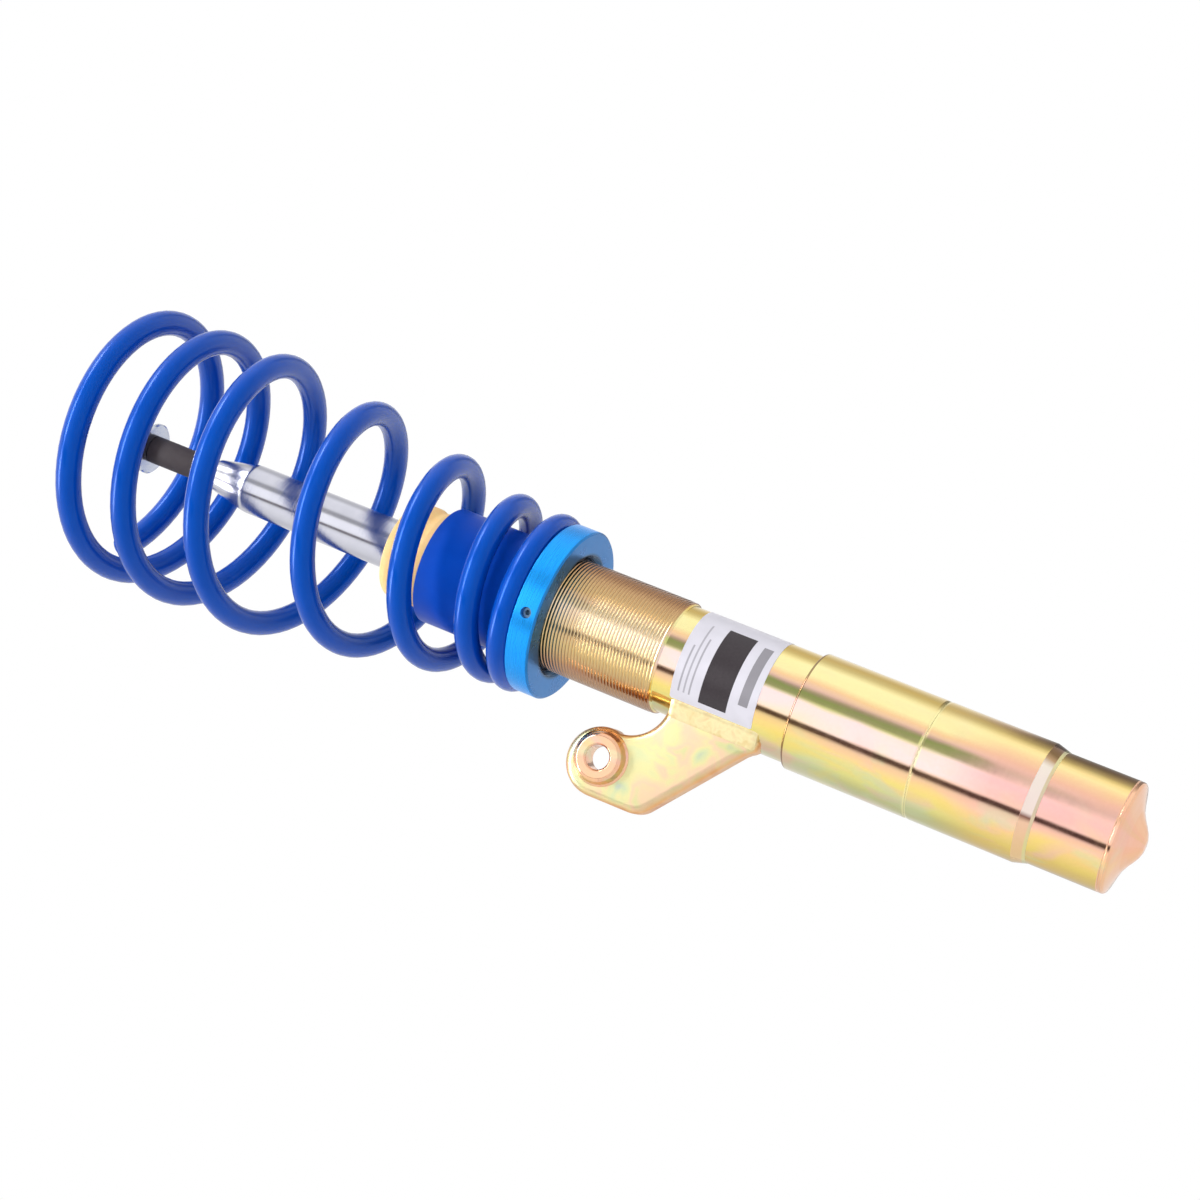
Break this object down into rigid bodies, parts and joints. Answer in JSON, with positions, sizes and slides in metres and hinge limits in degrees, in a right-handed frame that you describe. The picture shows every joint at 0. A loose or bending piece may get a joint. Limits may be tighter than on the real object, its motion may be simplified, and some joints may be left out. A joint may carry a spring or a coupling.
{
  "type": "coil-over suspension strut",
  "caption": "Threaded coil-over strut: barrel-shaped spring on an adjustable perch ring, chromed piston rod, foam stop, clamp sleeve and side link bracket.",
  "frame": {"origin": "on the strut's axis, in the middle of the cylindrical band that the knuckle's split clamp grips", "axes": "+Z runs along the strut towards the piston rod's threaded end; the link bracket reaches towards -X and its boss faces -Y"},
  "size_m": [0.1275, 0.1224, 0.4901],
  "materials": {
    "zinc_yellow": "yellow zinc chromate with pink and green tints, semi-gloss",
    "zinc_yellow_bracket": "yellow zinc chromate, paler with green and pink areas",
    "zinc_yellow_boss": "yellow zinc chromate with a pink tint",
    "zinc_yellow_weld": "yellow zinc chromate over a weld bead",
    "label_film": "blank silver-grey film, satin",
    "drawn_steel": "plain drawn steel",
    "sintered_steel": "sintered steel, matt",
    "spring_steel": "ground spring steel",
    "bronze": "bearing bronze",
    "black_rubber": "nitrile rubber",
    "chrome_rod": "hard chrome, ground and polished",
    "brown_band": "filled PTFE",
    "black_plastic": "matt black-brown plastic",
    "bright_zinc": "bright zinc",
    "orange_foam": "closed-cell polyurethane foam",
    "blue_sleeve": "satin royal-blue plastic",
    "blue_powder_coat": "gloss royal-blue powder coat",
    "blue_anodised": "bright light-blue anodised aluminium",
    "black_oxide": "black oxide"
  },
  "bodies": {
    "strut": {"damper_tube": "zinc_yellow", "base_cup": "zinc_yellow", "clamp_sleeve": "zinc_yellow", "support_ring": "zinc_yellow", "link_bracket": "zinc_yellow_bracket", "link_boss": "zinc_yellow_boss", "bracket_weld": "zinc_yellow_weld", "id_label": "label_film", "pressure_tube": "drawn_steel", "base_valve": "sintered_steel", "base_valve_disc": "spring_steel", "rod_guide": "sintered_steel", "guide_bush": "bronze", "rod_seal": "black_rubber", "gland_nut": "sintered_steel", "wiper_ring": "black_rubber"},
    "rod": {"piston_rod": "chrome_rod", "rebound_stop": "black_rubber", "piston": "sintered_steel", "piston_band": "brown_band", "valve_disc": "spring_steel", "piston_nut": "drawn_steel", "thread_protector": "black_plastic", "top_nut": "bright_zinc"},
    "bump_stop": {"bump_stop": "orange_foam"},
    "spring_seat": {"spring_sleeve": "blue_sleeve", "main_spring": "blue_powder_coat"},
    "perch_ring": {"spring_perch": "blue_anodised", "set_screw": "black_oxide"}
  },
  "joints": [
    {"name": "rod_stroke", "type": "slide", "parent": "strut", "child": "rod", "axis": [0, 0, -1], "range_m": [0, 0.085], "stiffness_N_per_m": 150, "springref_m": -0.12, "deforming": ["main_spring"]},
    {"name": "bump_stop_slide", "type": "slide", "parent": "strut", "child": "bump_stop", "axis": [0, 0, 1], "range_m": [0, 0.035]},
    {"name": "perch_height", "type": "slide", "parent": "strut", "child": "spring_seat", "axis": [0, 0, 1], "range_m": [-0.024, 0.03]},
    {"name": "perch_turn", "type": "hinge", "parent": "spring_seat", "child": "perch_ring", "pos_m": [0, 0, 0.1926], "axis": [0, 0, 1], "range_deg": [-5760, 7200]}
  ],
  "couplings": [
    {"joint": "perch_height", "follows": "perch_turn", "m_per_rad": 0.00023873}
  ]
}
